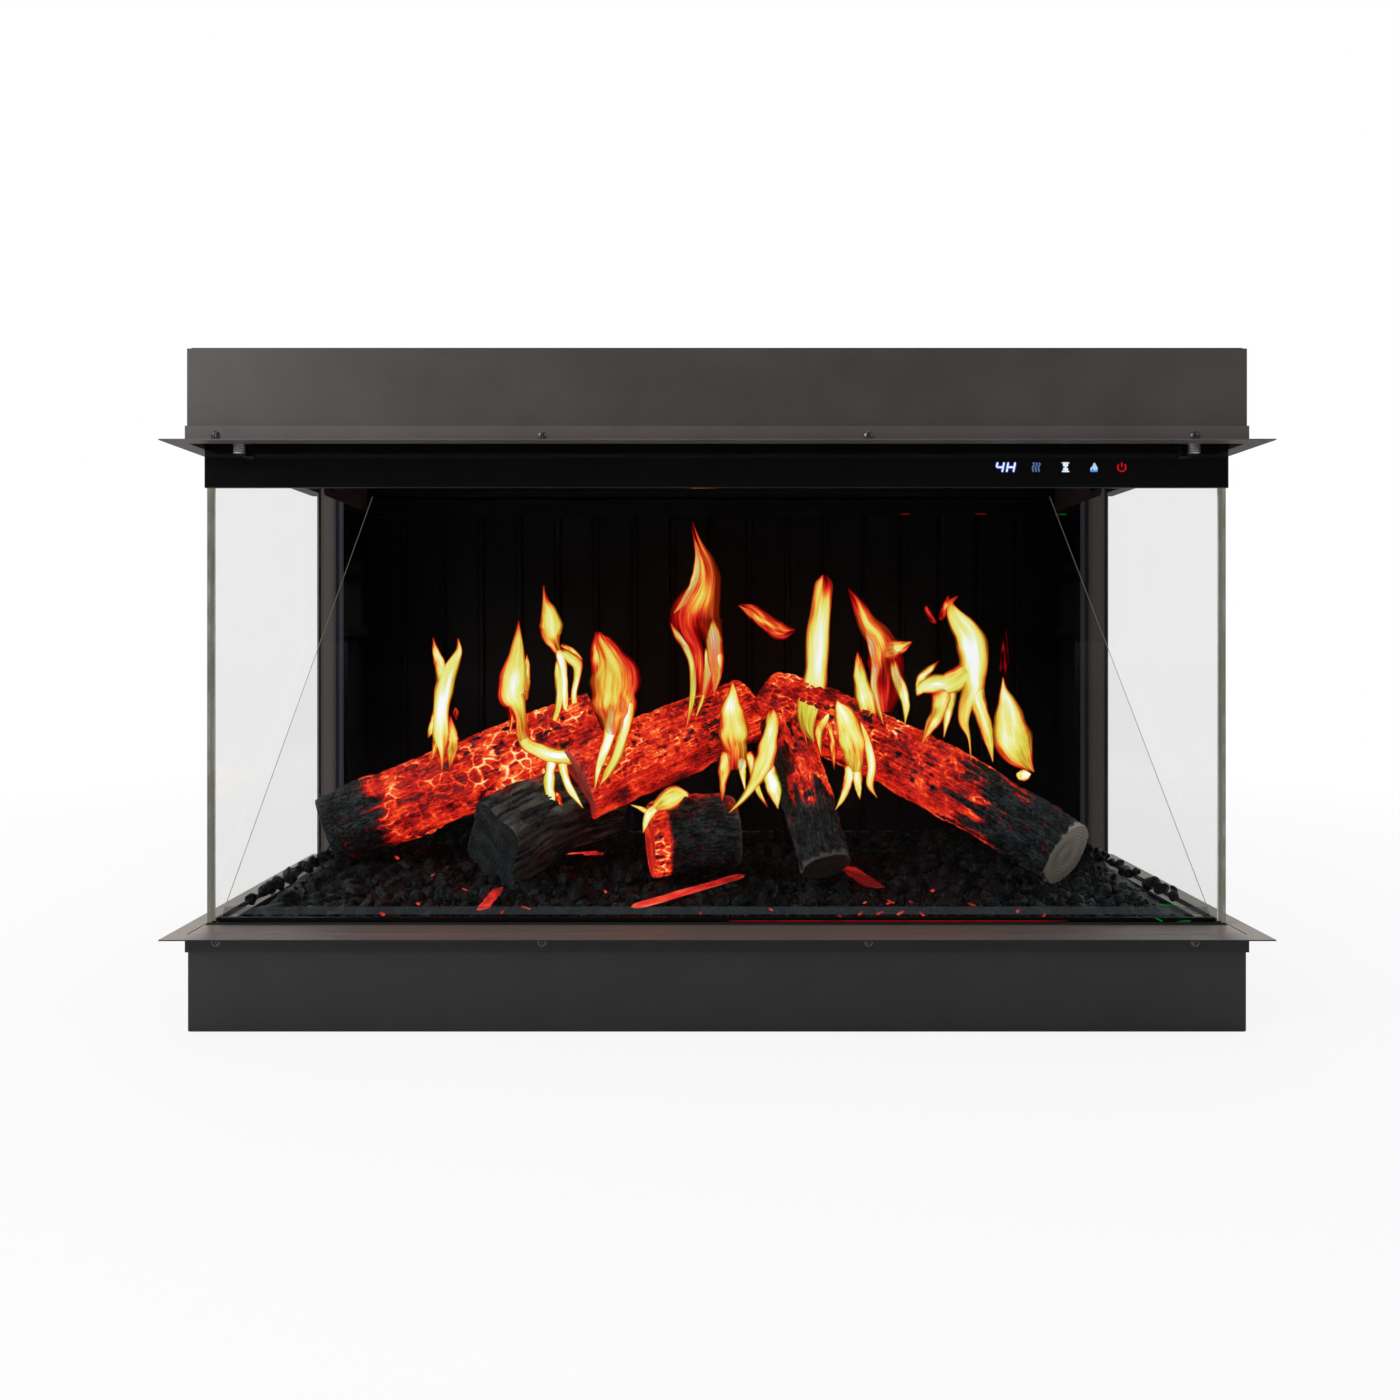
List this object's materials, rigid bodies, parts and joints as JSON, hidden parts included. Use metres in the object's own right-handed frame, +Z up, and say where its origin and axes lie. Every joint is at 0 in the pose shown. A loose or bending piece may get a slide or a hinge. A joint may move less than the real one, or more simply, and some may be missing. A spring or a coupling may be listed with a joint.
{
  "type": "three-sided electric fireplace",
  "caption": "Built-in electric fire with glass on three sides, charred logs on a coal bed, an inclined clear sheet and a touch control strip under the head.",
  "frame": {"origin": "middle of the base's underside, halfway between the foremost and the rearmost point of the whole fire", "axes": "+X to the viewer's right along the front, +Y to the rear, +Z up; the front glass faces -Y"},
  "size_m": [1.098, 0.631, 0.6855],
  "materials": {
    "grey_brown_paint": "satin grey-brown powder coat",
    "black_paint": "matt black enamel",
    "seal": "matt black seal strip",
    "dark_zinc": "dark zinc plate",
    "chrome": "bright plate",
    "galvanised_sheet": "galvanised sheet steel",
    "aluminium": "mill finish",
    "sintered_bronze": "sintered bearing bronze",
    "black_plastic": "fine-textured black moulding",
    "clear_glass": "polished clear toughened glass",
    "black_glass": "back-printed black glass",
    "screen_glass": "display front, dark when off",
    "opal_diffuser": "opal acrylic",
    "circuit_board": "green circuit board",
    "coal": "black resin coals with a wet gloss",
    "charred_wood": "cast resin painted as charred bark, with embers in its cracks"
  },
  "bodies": {
    "casing": {"base_casing": "grey_brown_paint", "lower_trim": "grey_brown_paint", "lower_trim_screw_1": "dark_zinc", "lower_trim_screw_2": "dark_zinc", "lower_trim_screw_3": "dark_zinc", "lower_trim_screw_4": "dark_zinc", "sill_gasket": "seal", "fuel_tray": "black_paint", "tray_bearer_left": "galvanised_sheet", "tray_bearer_right": "galvanised_sheet", "light_shelf": "galvanised_sheet", "ember_light_board_front": "circuit_board", "ember_light_board_rear": "circuit_board", "ember_diffuser": "opal_diffuser", "coal_bed": "coal", "log_rear_left": "charred_wood", "log_centre": "charred_wood", "log_rear_right": "charred_wood", "log_front_right": "charred_wood", "log_small_front": "charred_wood", "log_front_left": "charred_wood", "left_side_panel": "grey_brown_paint", "right_side_panel": "grey_brown_paint", "ribbed_rear_panel": "black_paint", "rear_header": "black_paint", "rear_cover": "grey_brown_paint", "upper_casing": "grey_brown_paint", "upper_trim": "grey_brown_paint", "upper_trim_screw_1": "dark_zinc", "upper_trim_screw_2": "dark_zinc", "upper_trim_screw_3": "dark_zinc", "upper_trim_screw_4": "dark_zinc", "top_cover": "grey_brown_paint", "head_frame": "black_paint", "soffit_grille": "black_paint", "front_glass": "clear_glass", "left_glass": "clear_glass", "right_glass": "clear_glass", "control_fascia": "black_glass", "touch_board": "black_plastic", "glass_thumbscrew_left": "chrome", "glass_thumbscrew_right": "chrome", "glass_clip_left": "black_paint", "glass_clip_right": "black_paint", "inclined_sheet": "clear_glass", "sheet_foot_rail": "black_paint", "sheet_head_rail": "black_paint", "screen_carrier": "black_paint", "flame_screen": "screen_glass", "electronics_shelf": "galvanised_sheet", "power_supply": "galvanised_sheet", "control_board": "circuit_board", "blower_housing": "galvanised_sheet", "impeller_bush": "sintered_bronze", "blower_motor": "galvanised_sheet", "heating_element": "aluminium", "cable_gland": "black_plastic", "mains_switch_body": "black_plastic"},
    "impeller": {"blower_impeller": "aluminium"},
    "rocker": {"mains_switch_rocker": "black_plastic"}
  },
  "joints": [
    {"name": "impeller_spin", "type": "hinge", "parent": "casing", "child": "impeller", "pos_m": [0, -0.262, 0.6519], "axis": [1, 0, 0], "continuous": true},
    {"name": "rocker_tip", "type": "hinge", "parent": "casing", "child": "rocker", "pos_m": [0.4, 0.30355, 0.6395], "axis": [1, 0, 0], "range_deg": [0, 18]}
  ]
}
